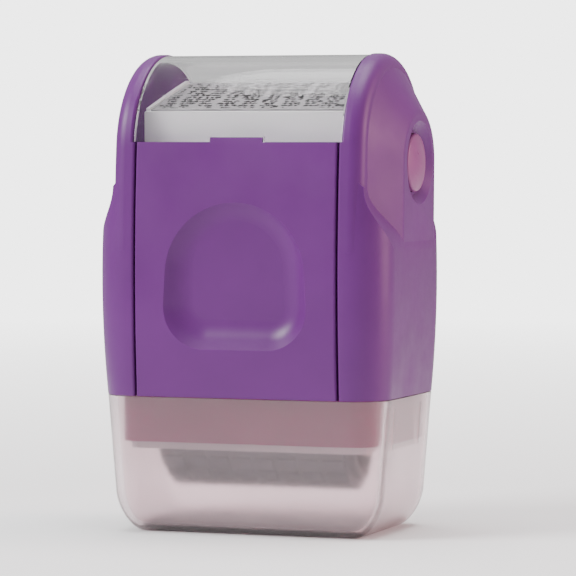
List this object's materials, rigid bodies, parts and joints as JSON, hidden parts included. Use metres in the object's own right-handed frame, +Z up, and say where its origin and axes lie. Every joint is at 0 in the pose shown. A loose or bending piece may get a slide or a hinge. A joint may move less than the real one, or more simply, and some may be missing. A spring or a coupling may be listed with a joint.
{
  "type": "self inking roller stamp",
  "caption": "Hand-held self inking roller stamp with a boxy grip, clear label window, side release buttons and a frosted pull-off cap.",
  "frame": {"origin": "middle of the cap's flat base, which the stamp stands on", "axes": "+Z up through the grip, +X to the right across the width, the front with the higher panel and lip faces -Y"},
  "size_m": [0.0584, 0.04, 0.0905],
  "materials": {
    "casing": "satin moulded purple",
    "frame": "satin purple",
    "button": "satin mauve",
    "tray": "white, smooth",
    "card": "printed card",
    "window": "clear polished plastic",
    "cap": "frosted translucent plastic",
    "carrier": "light grey moulded",
    "drum_core": "dark moulded",
    "rubber": "inked printing rubber",
    "foam": "ink-soaked foam",
    "bush": "natural acetal",
    "steel": "drawn steel",
    "spring": "spring wire"
  },
  "bodies": {
    "casing": {"left_side_shell": "casing", "right_side_shell": "casing", "front_panel": "casing", "rear_panel": "casing", "inner_frame": "frame", "label_tray": "tray", "label_card": "card", "left_button_spring": "spring", "right_button_spring": "spring"},
    "window": {"clear_window": "window"},
    "left_button": {"left_button": "button"},
    "right_button": {"right_button": "button"},
    "ink_unit": {"ink_unit_frame": "carrier", "left_end_plate": "carrier", "right_end_plate": "carrier", "drum_axle": "steel", "ink_roller_axle": "steel"},
    "drum": {"drum_core": "drum_core", "drum_rubber": "rubber", "left_drum_bush": "bush", "right_drum_bush": "bush"},
    "ink_roller": {"ink_roller_core": "bush", "ink_roller_foam": "foam"},
    "cap": {"cap": "cap"}
  },
  "joints": [
    {"name": "window_hinge", "type": "hinge", "parent": "casing", "child": "window", "pos_m": [0, 0.0164, 0.07473], "axis": [-1, 0, 0], "range_deg": [0, 100]},
    {"name": "left_button_press", "type": "slide", "parent": "casing", "child": "left_button", "axis": [1, 0, 0], "range_m": [0, 0.0018], "stiffness_N_per_m": 400, "deforming": ["left_button_spring"]},
    {"name": "right_button_press", "type": "slide", "parent": "casing", "child": "right_button", "axis": [-1, 0, 0], "range_m": [0, 0.0018], "stiffness_N_per_m": 400, "deforming": ["right_button_spring"]},
    {"name": "ink_unit_slide", "type": "slide", "parent": "casing", "child": "ink_unit", "axis": [0, 0, -1], "range_m": [0, 0.062]},
    {"name": "drum_spin", "type": "hinge", "parent": "ink_unit", "child": "drum", "pos_m": [0, 0, 0.019], "axis": [1, 0, 0], "continuous": true},
    {"name": "ink_roller_spin", "type": "hinge", "parent": "ink_unit", "child": "ink_roller", "pos_m": [0, 0, 0.03865], "axis": [1, 0, 0], "continuous": true},
    {"name": "cap_pull", "type": "slide", "parent": "ink_unit", "child": "cap", "axis": [0, 0, -1], "range_m": [0, 0.03]}
  ],
  "couplings": [
    {"joint": "ink_roller_spin", "follows": "drum_spin", "ratio": -1.2941}
  ]
}
